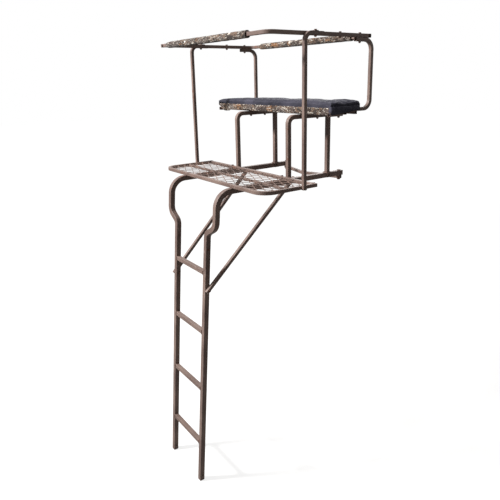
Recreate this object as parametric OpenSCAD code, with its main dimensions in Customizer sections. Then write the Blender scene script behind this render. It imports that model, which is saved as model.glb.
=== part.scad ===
// Two-seat ladder tree stand: the upper ladder section, its necks and beams, a mesh platform,
// a bench seat that tips up, and a padded rail on four uprights.
// X runs across the stand, +Y points into the tree and +Z is up.
// The origin is where the vee brace meets the trunk.

/* [Tubes] */
// Outer size of the square ladder, neck and beam tubes
main_tube = 30; // [27:1:33]
// Wall of the ladder, neck and beam tubes
main_wall = 1.5; // [1:0.25:2]
// Outer size of the square platform, strut, upright and rail tubes
frame_tube = 20; // [18:1:22]
// Wall of the platform, strut, upright and rail tubes
frame_wall = 1.5; // [1:0.25:2]
// Outer size of the square seat leg tubes
leg_tube = 25; // [22:1:28]
// Outer size of the square rung tubes
rung_tube = 25; // [22:1:27]
// Outer radius of the tubes' rounded edges
edge_r = 3; // [2:0.5:4]

/* [Ladder] */
// Spacing of the ladder rails, centre to centre
ladder_w = 340; // [300:5:380]
// Spacing of the rungs along the ladder
rung_pitch = 360; // [300:5:400]
// Distance from the top end of the ladder section to its first rung
first_rung = 106; // [60:2:150]
// Length of the rails below the last rung
foot_length = 255; // [120:5:400]
// Lean of the ladder from upright, in degrees
lean = 4.6; // [0:0.2:8]
// Length of the spigot that joins the ladder section to a neck
spigot_length = 68; // [50:2:90]
// Distance from the first rung down to the struts' lower bolts
strut_foot_drop = 95; // [70:5:130]

/* [Necks and beams] */
// Spacing of the beams, centre to centre
beam_w = 510; // [460:5:560]
// Length that a beam reaches behind the platform's rear bar
beam_reach = 480; // [460:5:520]
// Radius of the bend that turns a neck under the platform
back_bend_r = 90; // [70:5:100]
// Straight length between a neck's back bend and its side step
neck_drop = 73; // [40:1:100]
// Angle of the neck's side step, in degrees
step_angle = 60; // [50:1:70]
// Radius of the side step's upper bend
step_upper_r = 60; // [40:2:70]
// Radius of the side step's lower bend
step_lower_r = 40; // [35:1:50]
// Straight length of a neck below its side step
neck_tail = 100; // [90:2:140]
// Distance that a neck runs past the platform's front tube before its back bend
neck_overhang = 16; // [8:1:24]
// Distance from the platform's rear bar to the struts' upper bolts
strut_top_y = 100; // [90:1:110]
// Length of a strut past its bolts
strut_tail = 16; // [12:1:20]
// Distance from a beam's end to its brace bolt
brace_bolt_inset = 22; // [18:1:30]
// Length of a brace arm past its bolt
brace_tail = 16; // [12:1:22]

/* [Platform] */
// Spacing of the platform's side tubes, centre to centre
platform_w = 1060; // [980:10:1140]
// Distance from the platform's rear bar to its front tube, centre to centre
platform_d = 345; // [300:5:400]
// Distance from the platform's rear bar to the trunk
platform_setback = 395; // [390:1:430]
// Radius of the platform's front corners, at the tube's centre
platform_corner_r = 75; // [50:5:100]
// Outer size of the bar under the middle of the mesh
mid_tube = 14; // [12:1:14]
// Length of one diamond of the expanded mesh
mesh_long = 92; // [78:1:106]
// Width of one diamond of the expanded mesh
mesh_short = 46; // [39:1:53]
// Width of a mesh strand
mesh_strand = 4; // [3:0.5:5]
// Thickness of the mesh
mesh_t = 3; // [2:0.5:3]

/* [Seat] */
// Height of the seat supports' top bars above the platform, centre to centre
seat_rise = 340; // [300:5:400]
// Distance from the platform's rear bar to the front seat legs
front_leg_y = 48; // [44:1:60]
// Distance between the front and rear seat legs
leg_spacing = 309; // [290:1:320]
// Radius of the bend at the top of a front seat leg
leg_bend_r = 38; // [30:1:44]
// Distance from the platform's rear bar to the seat frame's front tube
frame_front = 158; // [150:1:165]
// Distance from the platform's rear bar to the seat frame's middle tube
frame_middle = 271; // [262:1:280]
// Length of a seat frame stub in front of the front tube
stub_fore = 63; // [50:1:70]
// Length of a seat frame stub behind the front tube
stub_aft = 32; // [28:1:40]
// Distance from the seat frame's front tube back to the bolt in a stub
stub_bolt = 9; // [4:1:14]
// Length of the saddle under a seat leg
saddle_length = 36; // [30:1:44]
// Distance from the platform's rear bar to the seat's front edge
seat_front_y = 100; // [90:1:120]
// Depth of the cushion, front to back
cushion_d = 275; // [265:1:280]
// Gap between the cushion's ends and the rear uprights
cushion_end_gap = 15; // [8:1:40]
// Thickness of the cushion at its rim
cushion_t = 32; // [24:1:40]
// Height of the cushion's crown over its rim
cushion_crown = 10; // [4:1:16]
// Depth of the fabric lip in front of the seat
lip_depth = 32; // [20:1:34]
// Outer size of the square seat pan tubes
pan_tube = 16; // [15:1:16]
// Thickness of the fabric lip
lip_t = 10; // [6:1:12]
// Gap between the seat pan's sides and the planes of the rear uprights
pan_side_gap = 40; // [30:1:60]
// Distance that the seat pan's front tube lies behind the cushion's front edge
pan_front_inset = 12; // [11:1:20]
// Distance that the cushion reaches behind the seat pan's rear corners
pan_rear_inset = 4; // [2:1:8]
// Gap between the seat pan's rear end and the seat frame's rear tube
hinge_gap = 4; // [3:0.5:6]
// Width of a seat pan slat
slat_w = 25; // [15:1:40]
// Thickness of a seat pan slat
slat_t = 3; // [2:0.5:4]
// Number of seat pan slats
slat_count = 8; // [4:1:10]
// Radius of the seat's hinge pins
hinge_pin_r = 4; // [3:0.5:5]
// Thickness of the plates that carry the hinge pins
lug_t = 4; // [3:0.5:6]

/* [Rail] */
// Height of the rail above the platform, centre to centre
rail_rise = 765; // [700:5:850]
// Distance from the front rail bar to the rear one, centre to centre
rail_d = 684; // [660:4:720]
// Distance from the platform's rear bar to the rear rail bar
rail_back_y = 380; // [372:1:384]
// Radius of the bends in the rail
rail_bend_r = 38; // [30:1:50]
// Outer diameter of the foam sleeves
pad_od = 40; // [36:1:46]
// Bare length of the front rail bar left of its sleeve
front_bare_left = 50; // [40:5:90]
// Bare length of the front rail bar right of its sleeve
front_bare_right = 160; // [120:5:200]
// Bare length of the rear rail bar left of its sleeve
rear_bare_left = 93; // [80:1:130]
// Bare length of the rear rail bar right of its sleeve
rear_bare_right = 117; // [90:1:150]
// Length of the plates that tie the rail to the front uprights
ear_length = 26; // [20:1:34]
// Distance from the front uprights back to the bolts of those plates
ear_bolt = 69; // [60:1:80]
// Length of a front upright's top leg past its bolt
front_leg_tail = 50; // [30:1:60]
// Distance from the rear uprights forward to their top bolts
rear_top_bolt = 93; // [85:1:110]
// Length of a rear upright's top leg past its bolt
rear_top_tail = 34; // [20:1:40]
// Length of a rear upright's bottom leg past its bolt
rear_foot_tail = 17; // [14:1:24]
// Distance from the front rail bar to the bolts in the middle of the side bars
rail_mid_bolt = 469; // [420:1:500]
// Distance from the platform's rear bar forward to the front uprights
front_upright_y = 94; // [80:2:120]
// Distance from the platform's rear bar back to the rear uprights
rear_upright_y = 405; // [402:1:408]
// Radius of the bend at the top of a front upright
front_upright_r = 38; // [30:1:45]
// Radius of the bends in a rear upright
rear_upright_r = 50; // [40:1:55]

/* [Fasteners] */
// Shank radius of the bolts
bolt_r = 4; // [3:0.5:4]
// Shank radius of the two bolts that hold the tree brace
brace_bolt_r = 6; // [5:0.5:7]
// Radial clearance of the bolts in their holes
hole_gap = 0.25; // [0.1:0.05:0.5]
// Thickness of the saddles and of the rail's plates
plate_t = 3; // [2.5:0.5:4]
// Height of a bolt's head
head_h = 5.3; // [4:0.1:7]
// Height of a nut
nut_h = 6.5; // [5:0.5:8]

/* [Hidden] */

seat_gap = 0.3;              // gap where a moving or soft piece lies on another
bend_swell = 0.05;           // how far a bend's section stands proud of the straight tube
bend_lap = 1;                // how far a straight length runs into the bend beside it
$bent = false;
stack_gap = 3 * bend_swell;  // gap between tubes that lie along each other, which clears their bends
slip_gap = 0.3;              // gap round a spigot inside its tube
saddle_clear = 2;            // gap between a neck's end and the front saddle
saddle_drop = 30;            // how far a saddle's sides reach down its beam
liner_l = 40;                // length of the sleeve that ties a spigot to its own tube
liner_bite = 0.4;            // how far that sleeve's weld runs into the tube's wall
pin_gap = 0.05;              // radial clearance of a hinge pin
pin_head_h = 3;              // height of a hinge pin's head
hinge_inset = 1;             // how far the hinge lies forward of the middle of the pan tube's end
slat_sink = 0.5;             // depth of the slats below the pan tubes' tops
corner_thread_gap = 5;       // length of a corner plug that its bolt leaves empty
round_fn = 32;

// heights
beam_z = frame_tube / 2 + main_tube / 2;
platform_z = beam_z + main_tube / 2 + frame_tube / 2;
support_z = platform_z + seat_rise;
seat_frame_z = support_z + leg_tube / 2 + frame_tube / 2;
pan_z = seat_frame_z + frame_tube / 2 + seat_gap + pan_tube / 2;
rail_z = platform_z + rail_rise;
mesh_z = platform_z + frame_tube / 2 - edge_r - mesh_t;
mid_bar_z = mesh_z - mid_tube / 2;
stub_leg_z = seat_frame_z + frame_tube + stack_gap;

// places along Y, counted from the trunk
rear_bar_y = -platform_setback;
front_tube_y = rear_bar_y - platform_d;
mid_bar_y = rear_bar_y - platform_d / 2;
run_front_y = front_tube_y - neck_overhang;
beam_end_y = rear_bar_y + beam_reach;
strut_bolt_y = rear_bar_y + strut_top_y;
spigot_end_y = strut_bolt_y + 2 * strut_tail;
foot_ys = [rear_bar_y + front_leg_y, rear_bar_y + front_leg_y + leg_spacing];
neck_end_y = foot_ys[0] - saddle_length / 2 - saddle_clear;
frame_front_y = rear_bar_y + frame_front;
frame_middle_y = rear_bar_y + frame_middle;
cushion_front_y = rear_bar_y + seat_front_y;
pan_front_y = cushion_front_y + pan_front_inset;
pan_rear_y = cushion_front_y + cushion_d - pan_rear_inset;
hinge_y = pan_rear_y - pan_tube / 2 - hinge_inset;
pan_cross_y = hinge_y - pan_tube - hinge_pin_r / 2;
frame_rear_y = hinge_y - pan_tube / 2 - hinge_gap - frame_tube / 2;
stub_front_y = frame_front_y - stub_fore;
stub_rear_y = frame_front_y + stub_aft;
stub_bolt_y = frame_front_y + stub_bolt;
rail_rear_y = rear_bar_y + rail_back_y;
rail_front_y = rail_rear_y - rail_d;
front_upright_pos = rear_bar_y - front_upright_y;
rear_upright_pos = rear_bar_y + rear_upright_y;
ear_y = front_upright_pos + ear_bolt;
rail_mid_bolt_y = rail_front_y + rail_mid_bolt;
rear_top_bolt_y = rear_upright_pos - rear_top_bolt;

// places along X
ladder_x = ladder_w / 2;
beam_x = beam_w / 2;
side_x = platform_w / 2;
upright_x = side_x + frame_tube + stack_gap;
cushion_w = platform_w - frame_tube - 2 * cushion_end_gap;
pan_x = side_x - frame_tube / 2 - pan_side_gap;
tie_x = pan_x - 3 * frame_tube;

// the ladder's own frame starts where the back bend ends and runs down the ladder
ladder_top_y = run_front_y - back_bend_r * cos(lean);
ladder_top_z = beam_z - back_bend_r * (1 - sin(lean));
step_out = beam_x - ladder_x;
step_straight = (step_out - (step_upper_r + step_lower_r) * (1 - cos(step_angle))) / sin(step_angle);
step_drop = (step_upper_r + step_lower_r) * sin(step_angle) + step_straight * cos(step_angle);
section_top = neck_drop + step_drop + neck_tail;
joint_bolt_s = section_top - spigot_length / 2;
rung_s = [for (i = [0:3]) section_top + first_rung + i * rung_pitch];
section_end = rung_s[3] + foot_length;
foot_hole_s = section_end - spigot_length / 2;
rung_front = (main_tube - rung_tube) / 2;
strut_foot_s = rung_s[0] + strut_foot_drop;

// the struts run from outside the ladder rails to inside the beams
strut_gap = 0.8;
strut_tilt_gap = 0.6;        // further room under a bolt's head, as a strut's side leans
strut_grip = main_tube + strut_gap + frame_tube + strut_tilt_gap;
strut_low = [
    ladder_x + main_tube / 2 + strut_gap + frame_tube / 2,
    ladder_top_y - strut_foot_s * sin(lean),
    ladder_top_z - strut_foot_s * cos(lean)
];
strut_high = [beam_x - main_tube / 2 - strut_gap - frame_tube / 2, strut_bolt_y, beam_z];
strut_vec = strut_high - strut_low;

// the brace's arms, whose faces towards the trunk meet at the origin
brace_bolt_y = beam_end_y - brace_bolt_inset;
brace_angle = atan(brace_bolt_y / beam_x) + asin(frame_tube / 2 / norm([beam_x, brace_bolt_y]));
brace_vertex_y = -frame_tube / 2 / cos(brace_angle);
brace_arm = beam_x / cos(brace_angle) + brace_tail;

// fasteners
head_r = 1.8 * bolt_r;
thread_past = 2;             // length of thread that shows past a nut
stack_grip = 2 * frame_tube + stack_gap;
hole_overrun = 10;           // how far a hole's cutter reaches past a bolt's grip
upright_bolt_z = mesh_z - seat_gap - head_r;
brace_head_r = 1.8 * brace_bolt_r;
corner_plug_l = frame_tube;

// every bolt: place under the head, turn of its axis from +Z, and grip length
platform_bolt_spots = [for (s = [-1, 1])
    [[s * beam_x, rear_bar_y, platform_z + frame_tube / 2], [180, 0, 0], frame_tube + main_tube]];
strut_bolt_spots = [for (s = [-1, 1]) each [
    [[s * (beam_x + main_tube / 2), strut_bolt_y, beam_z], [0, -s * 90, 0], strut_grip],
    [[s * (strut_low[0] + frame_tube / 2 + strut_tilt_gap), strut_low[1], strut_low[2]],
        [0, -s * 90, 0], strut_grip]]];
seat_foot_spots = [for (s = [-1, 1]) for (y = foot_ys)
    [[s * (beam_x + main_tube / 2 + seat_gap + plate_t), y, beam_z], [0, -s * 90, 0],
        main_tube + 2 * seat_gap + 2 * plate_t]];
seat_frame_spots = [for (s = [-1, 1]) for (y = [frame_front_y, frame_middle_y])
    [[s * beam_x, y, seat_frame_z + frame_tube / 2], [180, 0, 0], frame_tube + leg_tube]];
upright_spots = [for (s = [-1, 1]) each [
    [[s * (upright_x + frame_tube / 2), front_upright_pos, upright_bolt_z], [0, -s * 90, 0], stack_grip],
    [[s * side_x, rear_top_bolt_y, rail_z + frame_tube / 2], [180, 0, 0], stack_grip],
    [[s * side_x, stub_bolt_y, stub_leg_z + frame_tube / 2], [180, 0, 0], stack_grip]]];
rail_spots = [for (s = [-1, 1]) each [
    [[s * upright_x, ear_y, rail_z + frame_tube / 2 + plate_t], [180, 0, 0], frame_tube + plate_t],
    [[s * side_x, rail_mid_bolt_y, rail_z + frame_tube / 2], [180, 0, 0], frame_tube]]];
joint_spots = [for (s = [-1, 1])
    [[s * (ladder_x + main_tube / 2), ladder_top_y - joint_bolt_s * sin(lean),
        ladder_top_z - joint_bolt_s * cos(lean)], [0, -s * 90, 0], main_tube]];
brace_spots = [for (s = [-1, 1])
    [[s * beam_x, brace_bolt_y, beam_z + main_tube / 2], [180, 0, 0], main_tube + frame_tube]];
m8_spots = concat(platform_bolt_spots, strut_bolt_spots, seat_foot_spots, seat_frame_spots,
    upright_spots, rail_spots, joint_spots);

// ---- shared shapes ----

module rounded_square(size, r) {
    square([size, size - 2 * r], center = true);
    square([size - 2 * r, size], center = true);
    for (x = [-1, 1])
        for (y = [-1, 1])
            translate([x * (size / 2 - r), y * (size / 2 - r)])
                circle(r, $fn = round_fn);
}

module tube_profile(size, wall) {
    difference() {
        rounded_square(size, edge_r);
        rounded_square(size - 2 * wall, edge_r - wall + 0.1);
    }
}

// A straight length of tube along +Z; children go on from its far end
module run(size, wall, length) {
    head = $bent ? bend_lap : 0;
    tail = $children > 0 ? bend_lap : 0;
    translate([0, 0, -head])
        linear_extrude(head + length + tail)
            tube_profile(size, wall);
    translate([0, 0, length]) children();
}

// A bend that turns +Z towards +Y, or towards the side that heading turns +Y to;
// its section stands a little proud of the straight tube, inside and out
module bend(size, wall, angle, radius, heading = 0) {
    $bent = true;
    rotate([0, 0, heading]) {
        translate([0, radius, 0])
            rotate([90, 0, -90])
                rotate_extrude(angle = angle, $fn = 96)
                    translate([radius, 0])
                        tube_profile(size + 2 * bend_swell, wall + 2 * bend_swell);
        translate([0, radius * (1 - cos(angle)), radius * sin(angle)])
            rotate([-angle, 0, 0])
                rotate([0, 0, -heading])
                    children();
    }
}

// A tube along X, centred on its place
module cross_tube(size, wall, length) {
    translate([-length / 2, 0, 0])
        rotate([0, 90, 0])
            linear_extrude(length)
                tube_profile(size, wall);
}

// A tube along Y between two places
module long_tube(size, wall, y0, y1) {
    translate([0, y0, 0])
        rotate([-90, 0, 0])
            linear_extrude(y1 - y0)
                tube_profile(size, wall);
}

// Holes for a list of bolts
module holes(spots, r = bolt_r + hole_gap) {
    for (p = spots)
        translate(p[0])
            rotate(p[1])
                translate([0, 0, -hole_overrun])
                    cylinder(h = p[2] + 2 * hole_overrun, r = r, $fn = round_fn);
}

module bolt(grip, r, hex_r, past) {
    translate([0, 0, -head_h]) cylinder(h = head_h, r = hex_r, $fn = 6);
    cylinder(h = grip + past, r = r, $fn = round_fn);
}

module bolts(spots, r = bolt_r, hex_r = head_r, past = nut_h + thread_past) {
    color("dimgray")
        for (p = spots)
            translate(p[0])
                rotate(p[1])
                    bolt(p[2], r, hex_r, past);
}

module nuts_on(spots, r = bolt_r, hex_r = head_r) {
    color("dimgray")
        for (p = spots)
            translate(p[0])
                rotate(p[1])
                    translate([0, 0, p[2]])
                        difference() {
                            cylinder(h = nut_h, r = hex_r, $fn = 6);
                            translate([0, 0, -1])
                                cylinder(h = nut_h + 2, r = r + pin_gap, $fn = round_fn);
                        }
}

// The ladder's own frame: +Z runs down the ladder and +Y faces away from the tree
module ladder_frame() {
    translate([0, ladder_top_y, ladder_top_z])
        rotate([180 - lean, 0, 0])
            children();
}

// ---- platform ----

module platform_rim() {
    side_l = platform_d - platform_corner_r + frame_tube / 2;
    front_l = platform_w - 2 * platform_corner_r;
    color("saddlebrown")
        difference() {
            translate([-side_x, rear_bar_y + frame_tube / 2, platform_z])
                rotate([90, 0, 0])
                    run(frame_tube, frame_wall, side_l)
                        bend(frame_tube, frame_wall, 90, platform_corner_r, -90)
                            run(frame_tube, frame_wall, front_l)
                                bend(frame_tube, frame_wall, 90, platform_corner_r, -90)
                                    run(frame_tube, frame_wall, side_l);
            holes(upright_spots);
        }
}

module platform_rear_bar() {
    color("saddlebrown")
        difference() {
            translate([0, rear_bar_y, platform_z])
                cross_tube(frame_tube, frame_wall, platform_w - frame_tube);
            holes(platform_bolt_spots);
        }
}

module platform_mid_bar() {
    color("saddlebrown")
        translate([0, mid_bar_y, mid_bar_z])
            cross_tube(mid_tube, frame_wall, platform_w - frame_tube);
}

module mesh_outline(inset) {
    r = platform_corner_r - frame_tube / 2 - inset;
    x = side_x - frame_tube / 2 - inset;
    y0 = front_tube_y + frame_tube / 2 + inset;
    y1 = rear_bar_y - frame_tube / 2 - inset;
    translate([-x, y0 + r]) square([2 * x, y1 - y0 - r]);
    translate([-x + r, y0]) square([2 * (x - r), r + 1]);
    for (s = [-1, 1])
        translate([s * (x - r), y0 + r])
            circle(r, $fn = 64);
}

module diamond() {
    a = mesh_long / 2;
    b = mesh_short / 2;
    keep = 1 - mesh_strand / 2 / (b * cos(atan(b / a)));
    polygon([[-a * keep, 0], [0, -b * keep], [a * keep, 0], [0, b * keep]]);
}

module platform_mesh() {
    columns = ceil(side_x / mesh_long);
    rows = ceil(platform_d / mesh_short);
    color("peru")
        translate([0, 0, mesh_z])
            linear_extrude(mesh_t)
                difference() {
                    mesh_outline(bend_swell);
                    intersection() {
                        mesh_outline(mesh_strand);
                        for (i = [-columns:columns])
                            for (j = [0:rows])
                                for (k = [0, 0.5])
                                    translate([(i + k) * mesh_long, rear_bar_y - (j + k) * mesh_short])
                                        diamond();
                    }
                }
}

// ---- necks, beams and ladder ----

// The right neck; the left one mirrors it
module neck() {
    inner = main_tube - 2 * main_wall;
    color("saddlebrown")
        difference() {
            union() {
                translate([beam_x, neck_end_y, beam_z])
                    rotate([90, 0, 0])
                        run(main_tube, main_wall, neck_end_y - run_front_y)
                            bend(main_tube, main_wall, 90 - lean, back_bend_r, 180)
                                run(main_tube, main_wall, neck_drop)
                                    bend(main_tube, main_wall, step_angle, step_upper_r, 90)
                                        run(main_tube, main_wall, step_straight)
                                            bend(main_tube, main_wall, step_angle, step_lower_r, -90)
                                                run(main_tube, main_wall, neck_tail);
                translate([beam_x, 0, beam_z])
                    long_tube(inner - 2 * slip_gap, main_wall, neck_end_y - 1, spigot_end_y);
                translate([beam_x, 0, beam_z])
                    long_tube(inner + liner_bite, main_wall + slip_gap, neck_end_y - liner_l, neck_end_y);
            }
            holes([platform_bolt_spots[1], joint_spots[1], strut_bolt_spots[2]]);
            holes([for (i = [2, 3]) seat_foot_spots[i]]);
        }
}

module beam(side) {
    color("saddlebrown")
        difference() {
            translate([side * beam_x, 0, beam_z])
                long_tube(main_tube, main_wall, neck_end_y, beam_end_y);
            holes([for (i = [0, 2]) strut_bolt_spots[i]]);
            holes(seat_foot_spots);
            holes(brace_spots, brace_bolt_r + hole_gap);
        }
}

module ladder_rail(side) {
    inner = main_tube - 2 * main_wall;
    color("saddlebrown")
        difference() {
            ladder_frame()
                translate([side * ladder_x, 0, 0]) {
                    translate([0, 0, section_top])
                        linear_extrude(section_end - section_top)
                            tube_profile(main_tube, main_wall);
                    translate([0, 0, section_top - spigot_length])
                        linear_extrude(spigot_length + 1)
                            tube_profile(inner - 2 * slip_gap, main_wall);
                    translate([0, 0, section_top])
                        linear_extrude(liner_l)
                            tube_profile(inner, main_wall);
                }
            holes(joint_spots);
            holes([for (i = [1, 3]) strut_bolt_spots[i]]);
            ladder_frame()
                translate([side * ladder_x - main_tube, 0, foot_hole_s])
                    rotate([0, 90, 0])
                        cylinder(h = 2 * main_tube, r = bolt_r + hole_gap, $fn = round_fn);
        }
}

module rung(i) {
    color("sienna")
        ladder_frame()
            translate([0, rung_front, rung_s[i]])
                cross_tube(rung_tube, frame_wall, ladder_w - main_tube);
}

module strut(side) {
    pitch = atan2(strut_vec[1], strut_vec[2]);
    yaw = atan(strut_vec[0] / norm([strut_vec[1], strut_vec[2]]));
    color("saddlebrown")
        difference() {
            mirror([side < 0 ? 1 : 0, 0, 0])
                translate(strut_low)
                    rotate([-pitch, 0, 0])
                        rotate([0, yaw, 0])
                            translate([0, 0, -strut_tail])
                                linear_extrude(norm(strut_vec) + 2 * strut_tail)
                                    tube_profile(frame_tube, frame_wall);
            holes(strut_bolt_spots);
        }
}

module tree_brace() {
    color("saddlebrown")
        difference() {
            for (s = [0, 1])
                mirror([s, 0, 0])
                    intersection() {
                        translate([0, brace_vertex_y, 0])
                            rotate([0, 0, brace_angle])
                                translate([-frame_tube, 0, 0])
                                    rotate([0, 90, 0])
                                        linear_extrude(brace_arm + frame_tube)
                                            tube_profile(frame_tube, frame_wall);
                        translate([0, -beam_x, -frame_tube])
                            cube([2 * beam_x, 2 * beam_x, 2 * frame_tube]);
                    }
            holes(brace_spots, brace_bolt_r + hole_gap);
        }
}

// ---- seat ----

module seat_support(side) {
    rise = support_z - leg_bend_r - beam_z - main_tube / 2 - seat_gap - plate_t;
    color("saddlebrown")
        difference() {
            translate([side * beam_x, foot_ys[0], support_z - leg_bend_r - rise])
                run(leg_tube, frame_wall, rise)
                    bend(leg_tube, frame_wall, 90, leg_bend_r)
                        run(leg_tube, frame_wall, leg_spacing - leg_bend_r + leg_tube / 2);
            holes(seat_frame_spots);
        }
}

module seat_rear_leg(side) {
    foot_z = beam_z + main_tube / 2 + seat_gap + plate_t;
    color("saddlebrown")
        translate([side * beam_x, foot_ys[1], foot_z])
            linear_extrude(support_z - leg_tube / 2 - foot_z)
                tube_profile(leg_tube, frame_wall);
}

// A saddle that straddles a beam under each leg
module seat_feet() {
    inner = main_tube + 2 * seat_gap;
    outer = inner + 2 * plate_t;
    color("saddlebrown")
        difference() {
            for (s = [-1, 1])
                for (y = foot_ys)
                    translate([s * beam_x, y, beam_z + main_tube / 2 + seat_gap])
                        difference() {
                            translate([-outer / 2, -saddle_length / 2, -saddle_drop])
                                cube([outer, saddle_length, saddle_drop + plate_t]);
                            translate([-inner / 2, -saddle_length, -saddle_drop - 1])
                                cube([inner, 2 * saddle_length, saddle_drop + 1]);
                        }
            holes(seat_foot_spots);
        }
}

module seat_frame_front_tube() {
    color("saddlebrown")
        difference() {
            translate([0, frame_front_y, seat_frame_z])
                cross_tube(frame_tube, frame_wall, 2 * side_x - frame_tube);
            holes(seat_frame_spots);
        }
}

module seat_frame_middle_tube() {
    color("saddlebrown")
        difference() {
            translate([0, frame_middle_y, seat_frame_z])
                cross_tube(frame_tube, frame_wall, 2 * pan_x);
            holes(seat_frame_spots);
        }
}

module seat_frame_rear_tube() {
    color("saddlebrown")
        translate([0, frame_rear_y, seat_frame_z])
            cross_tube(frame_tube, frame_wall, 2 * (pan_x + pan_tube / 2 + seat_gap + lug_t));
}

module seat_frame_ties() {
    half = frame_tube / 2;
    color("saddlebrown")
        for (s = [-1, 1])
            translate([s * tie_x, 0, seat_frame_z]) {
                long_tube(frame_tube, frame_wall, frame_front_y + half, frame_middle_y - half);
                long_tube(frame_tube, frame_wall, frame_middle_y + half, frame_rear_y - half);
            }
}

module seat_frame_stub(side) {
    color("saddlebrown")
        difference() {
            translate([side * side_x, 0, seat_frame_z])
                long_tube(frame_tube, frame_wall, stub_front_y, stub_rear_y);
            holes(upright_spots);
        }
}

// Plates on the rear tube that carry the hinge pins outside the seat pan
module seat_hinge_lugs() {
    x = pan_x + pan_tube / 2 + seat_gap;
    foot_z = seat_frame_z + frame_tube / 2;
    color("saddlebrown")
        difference() {
            for (s = [-1, 1])
                translate([s * (x + lug_t / 2), hinge_y, pan_z])
                    rotate([0, 90, 0])
                        translate([0, 0, -lug_t / 2]) {
                            cylinder(h = lug_t, r = pan_tube / 2 - 0.5, $fn = round_fn);
                            translate([0, -(hinge_y - frame_rear_y) - frame_tube / 2, 0])
                                cube([pan_z - foot_z, hinge_y - frame_rear_y + frame_tube / 2, lug_t]);
                        }
            translate([0, hinge_y, pan_z])
                rotate([0, 90, 0])
                    cylinder(h = 3 * pan_x, r = hinge_pin_r + pin_gap, center = true, $fn = round_fn);
        }
}

module seat_hinge_pins() {
    x = pan_x + pan_tube / 2 + seat_gap + lug_t;
    color("dimgray")
        for (s = [-1, 1])
            translate([s * x, hinge_y, pan_z])
                rotate([0, -s * 90, 0]) {
                    cylinder(h = lug_t + seat_gap + pan_tube + 3, r = hinge_pin_r, $fn = round_fn);
                    translate([0, 0, -pin_head_h])
                        cylinder(h = pin_head_h, r = 1.7 * hinge_pin_r, $fn = round_fn);
                }
}

module seat_pan() {
    cross_l = 2 * pan_x - pan_tube;
    color("saddlebrown")
        difference() {
            union() {
                for (s = [-1, 1])
                    translate([s * pan_x, 0, pan_z])
                        long_tube(pan_tube, frame_wall, pan_front_y, pan_rear_y);
                for (y = [pan_front_y + pan_tube / 2, pan_cross_y])
                    translate([0, y, pan_z])
                        cross_tube(pan_tube, frame_wall, cross_l);
            }
            translate([0, hinge_y, pan_z])
                rotate([0, 90, 0])
                    cylinder(h = 3 * pan_x, r = hinge_pin_r + pin_gap, center = true, $fn = round_fn);
        }
}

module seat_pan_slats() {
    pitch = 2 * pan_x / (slat_count + 1);
    y0 = pan_front_y + pan_tube;
    y1 = pan_cross_y - pan_tube / 2;
    color("saddlebrown")
        for (i = [0:slat_count - 1])
            translate([(i - (slat_count - 1) / 2) * pitch - slat_w / 2, y0,
                    pan_z + pan_tube / 2 - slat_t - slat_sink])
                cube([slat_w, y1 - y0, slat_t]);
}

module seat_cushion() {
    bottom = pan_z + pan_tube / 2 + seat_gap;
    top = bottom + cushion_t + cushion_crown;
    half_d = cushion_d / 2;
    crown_r = (half_d * half_d + cushion_crown * cushion_crown) / 2 / cushion_crown;
    color([0.16, 0.16, 0.19]) {
        intersection() {
            translate([-cushion_w / 2, cushion_front_y, bottom])
                cube([cushion_w, cushion_d, top - bottom]);
            translate([-cushion_w / 2, cushion_front_y + half_d, top - crown_r])
                rotate([0, 90, 0])
                    cylinder(h = cushion_w, r = crown_r, $fn = 360);
        }
        translate([-cushion_w / 2, cushion_front_y, bottom - lip_depth])
            cube([cushion_w, lip_t, lip_depth + 1]);
    }
}

// ---- uprights and rail ----

module front_upright(side) {
    foot_z = platform_z - frame_tube / 2;
    leg = ear_bolt - front_upright_r + front_leg_tail;
    color("saddlebrown")
        difference() {
            translate([side * upright_x, front_upright_pos, foot_z])
                run(frame_tube, frame_wall, rail_z - front_upright_r - foot_z)
                    bend(frame_tube, frame_wall, 90, front_upright_r)
                        run(frame_tube, frame_wall, leg);
            holes(upright_spots);
            holes(rail_spots);
        }
}

module rear_upright(side) {
    top_z = rail_z - frame_tube - stack_gap;
    foot_l = rear_upright_pos - rear_upright_r - stub_bolt_y + rear_foot_tail;
    top_l = rear_top_bolt - rear_upright_r + rear_top_tail;
    color("saddlebrown")
        difference() {
            translate([side * side_x, stub_bolt_y - rear_foot_tail, stub_leg_z])
                rotate([-90, 0, 0])
                    run(frame_tube, frame_wall, foot_l)
                        bend(frame_tube, frame_wall, 90, rear_upright_r, 180)
                            run(frame_tube, frame_wall, top_z - stub_leg_z - 2 * rear_upright_r)
                                bend(frame_tube, frame_wall, 90, rear_upright_r, 180)
                                    run(frame_tube, frame_wall, top_l);
            holes(upright_spots);
        }
}

// One L-shaped rail tube: a padded bar across the stand and a bar along one side
module rail(along, across) {
    run(frame_tube, frame_wall, along)
        bend(frame_tube, frame_wall, 90, rail_bend_r, -90)
            run(frame_tube, frame_wall, across);
}

module rail_front() {
    color("saddlebrown")
        difference() {
            translate([side_x, rail_rear_y - frame_tube / 2, rail_z])
                rotate([90, 0, 0])
                    mirror([1, 0, 0])
                        rail(rail_d - frame_tube / 2 - rail_bend_r, 2 * side_x - rail_bend_r + frame_tube);
            holes(upright_spots);
            holes(rail_spots);
            corner_holes();
        }
}

module rail_back() {
    color("saddlebrown")
        difference() {
            translate([-side_x, rail_front_y + frame_tube / 2, rail_z])
                rotate([-90, 0, 0])
                    rail(rail_d - frame_tube / 2 - rail_bend_r, 2 * side_x - rail_bend_r + frame_tube / 2);
            holes(upright_spots);
            holes(rail_spots);
            corner_holes();
        }
}

// The two corners where a bar's end meets the other rail tube
corner_spots = [
    [[-side_x, rail_front_y - frame_tube / 2, rail_z], [-90, 0, 0], frame_tube + corner_plug_l],
    [[side_x, rail_rear_y + frame_tube / 2, rail_z], [90, 0, 0], frame_tube + corner_plug_l]
];

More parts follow.
